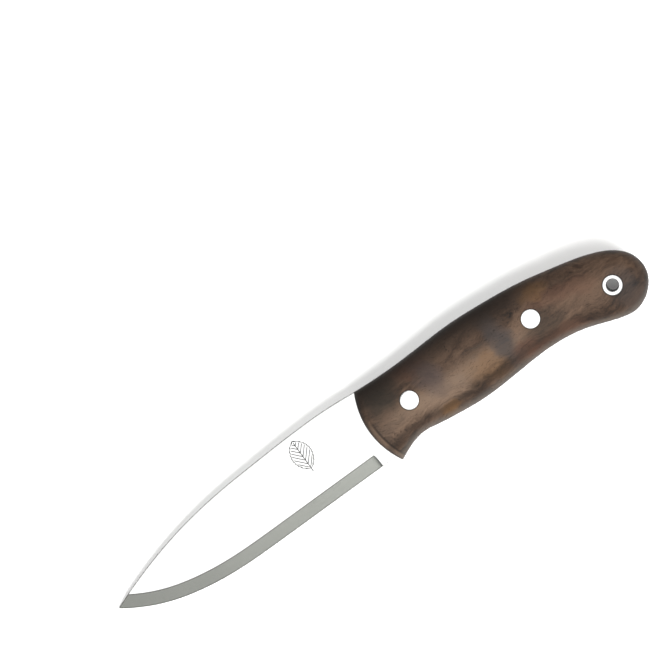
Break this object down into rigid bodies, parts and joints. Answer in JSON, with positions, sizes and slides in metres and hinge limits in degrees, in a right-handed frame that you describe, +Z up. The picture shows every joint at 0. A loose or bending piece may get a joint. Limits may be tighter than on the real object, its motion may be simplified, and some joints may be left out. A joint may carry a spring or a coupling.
{
  "type": "whittling knife",
  "caption": "Full-tang whittling knife with a drop-point blade, contoured wooden handle scales held by flush bolts, and a lanyard tube, lying on its side",
  "frame": {"origin": "centre of the bounding box in plan, on the surface that the knife lies on", "axes": "+X from the blade's tip to the butt, +Y towards the spine, +Z up, out of the knife's left side; the knife lies on its right side, leaning on the blade near the tip and on the palm swell"},
  "size_m": [0.2276, 0.0372, 0.0257],
  "materials": {
    "blade_steel": "satin-ground stainless steel, fine grinding lines, darker bevel",
    "handle_wood": "oiled figured dark walnut with streaked grain, low sheen",
    "bond_epoxy": "thin cured epoxy film, seen as a hairline",
    "fitting_steel": "stainless steel, sanded flush and polished"
  },
  "bodies": {
    "root": {"blade_and_tang": "blade_steel", "left_scale": "handle_wood", "right_scale": "handle_wood", "left_bond_layer": "bond_epoxy", "right_bond_layer": "bond_epoxy", "front_bolt_barrel": "fitting_steel", "front_bolt_screw": "fitting_steel", "rear_bolt_barrel": "fitting_steel", "rear_bolt_screw": "fitting_steel", "lanyard_tube": "fitting_steel"}
  },
  "joints": []
}
